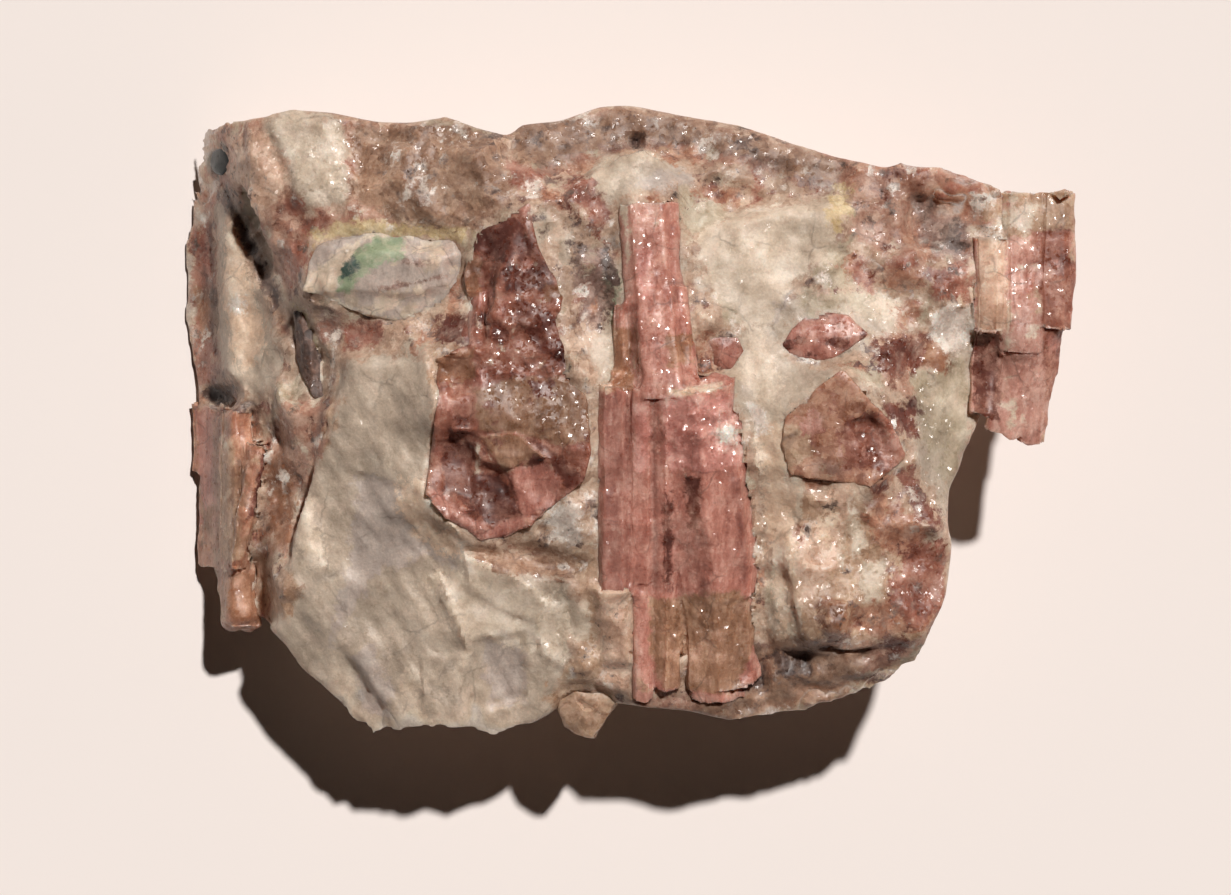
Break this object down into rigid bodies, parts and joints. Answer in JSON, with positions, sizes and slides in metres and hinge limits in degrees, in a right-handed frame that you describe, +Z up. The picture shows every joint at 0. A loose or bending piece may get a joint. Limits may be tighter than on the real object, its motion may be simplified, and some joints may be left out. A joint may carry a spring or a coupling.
{
  "type": "darrellhenryite specimen",
  "caption": "Hand-sized broken rock of pale feldspar and quartz with long pink tourmaline prisms, lying on its flat underside.",
  "frame": {"origin": "middle of the bounding box's footprint, on the surface that the rock rests on", "axes": "+X along the specimen's length, towards the overhanging bundle of prisms; +Y across it, along the long crystal's upper prism; +Z up, out of the face with the crystals"},
  "size_m": [0.0604, 0.0426, 0.0196],
  "materials": {
    "feldspar_rock": "rough broken feldspar and quartz with reddish brown granular stains, small bright flakes",
    "pink_tourmaline": "glassy brick pink, striated along its length, translucent at the edges",
    "red_tourmaline": "glassy deep red, broken, with sparkling grains",
    "salmon_tourmaline": "glassy salmon, parted across into blocks",
    "crimson_tourmaline": "glassy crimson pink",
    "brown_tourmaline": "dull brown pink with cream weathering",
    "stained_feldspar": "pale lavender grey feldspar with a mint green stain",
    "dark_mica": "dark grey blades with cream edges",
    "dark_glass_grain": "glossy dark teal"
  },
  "bodies": {
    "root": {"matrix": "feldspar_rock", "central_crystal": "pink_tourmaline", "left_crystal": "red_tourmaline", "block_crystal": "salmon_tourmaline", "pink_crystal": "pink_tourmaline", "heart_crystal": "crimson_tourmaline", "end_crystals": "salmon_tourmaline", "edge_crystals": "brown_tourmaline", "tip_crystal": "brown_tourmaline", "lens_grain": "stained_feldspar", "mica_blades": "dark_mica", "glassy_grain": "dark_glass_grain"}
  },
  "joints": []
}
